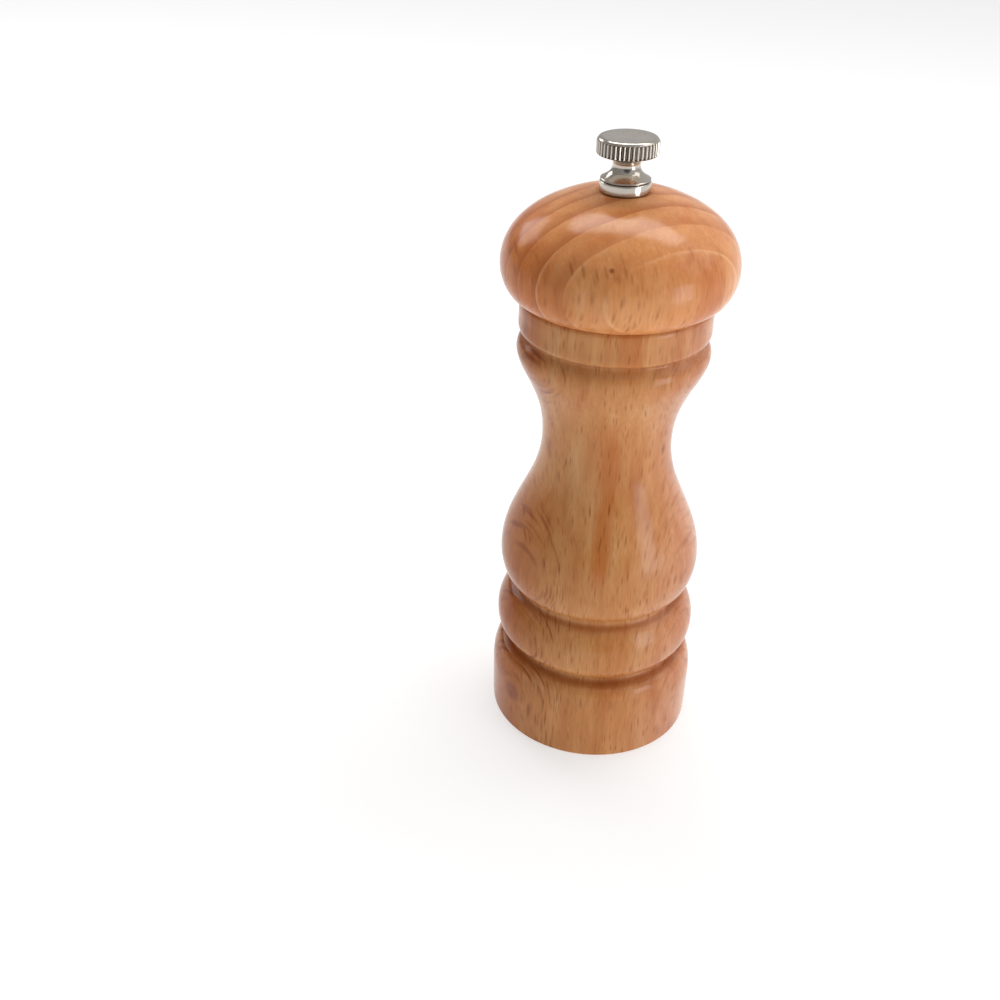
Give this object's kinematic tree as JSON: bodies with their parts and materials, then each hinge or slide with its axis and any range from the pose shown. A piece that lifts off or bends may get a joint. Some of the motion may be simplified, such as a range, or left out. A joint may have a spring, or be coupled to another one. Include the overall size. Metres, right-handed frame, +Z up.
{
  "type": "pepper mill",
  "caption": "Hand pepper mill: waisted turned-wood body, domed wooden head that turns, knurled metal adjusting knob, and a steel burr mechanism in the base.",
  "frame": {"origin": "centre of the base, on the surface the mill stands on", "axes": "+Z up along the mill's axis, through the adjusting knob; +X along the retaining bar's screws"},
  "size_m": [0.058, 0.058, 0.165],
  "materials": {
    "beech_body": "clear gloss lacquer over straight-grained beech",
    "beech_head": "clear gloss lacquer over beech cut with curved grain on its sides",
    "nickel": "bright nickel plate, finely brushed on the knob's top",
    "steel": "zinc-plated pressed steel",
    "burr_steel": "dark hardened and sintered steel",
    "bronze": "plain bronze washer"
  },
  "bodies": {
    "mill_body": {"body": "beech_body", "stator": "burr_steel", "stirrup": "steel", "thrust_washer": "bronze", "retaining_bar": "steel", "bar_screw_1": "steel", "bar_screw_2": "steel"},
    "spindle_seat": {"spring_seat": "steel"},
    "spindle": {"shaft": "steel", "rotor": "burr_steel", "rotor_washer": "steel", "retaining_clip": "burr_steel", "spring": "steel"},
    "mill_head": {"head": "beech_head", "knob_collar": "nickel", "drive_plate": "steel", "drive_plate_screw_1": "steel", "drive_plate_screw_2": "steel", "drive_plate_screw_3": "steel"},
    "knob": {"adjusting_knob": "nickel"}
  },
  "joints": [
    {"name": "grind_turn", "type": "hinge", "parent": "mill_body", "child": "spindle_seat", "pos_m": [0, 0, 0.0294], "axis": [0, 0, 1], "continuous": true},
    {"name": "gap_adjust", "type": "slide", "parent": "spindle_seat", "child": "spindle", "axis": [0, 0, 1], "range_m": [-0.0008, 0.0008], "deforming": ["spring"]},
    {"name": "head_lift", "type": "slide", "parent": "spindle_seat", "child": "mill_head", "axis": [0, 0, 1], "range_m": [0, 0.06]},
    {"name": "knob_turn", "type": "hinge", "parent": "mill_head", "child": "knob", "pos_m": [0, 0, 0.16], "axis": [0, 0, 1], "range_deg": [-360, 360]}
  ],
  "couplings": [
    {"joint": "knob_turn", "follows": "gap_adjust", "rad_per_m": -7854}
  ]
}
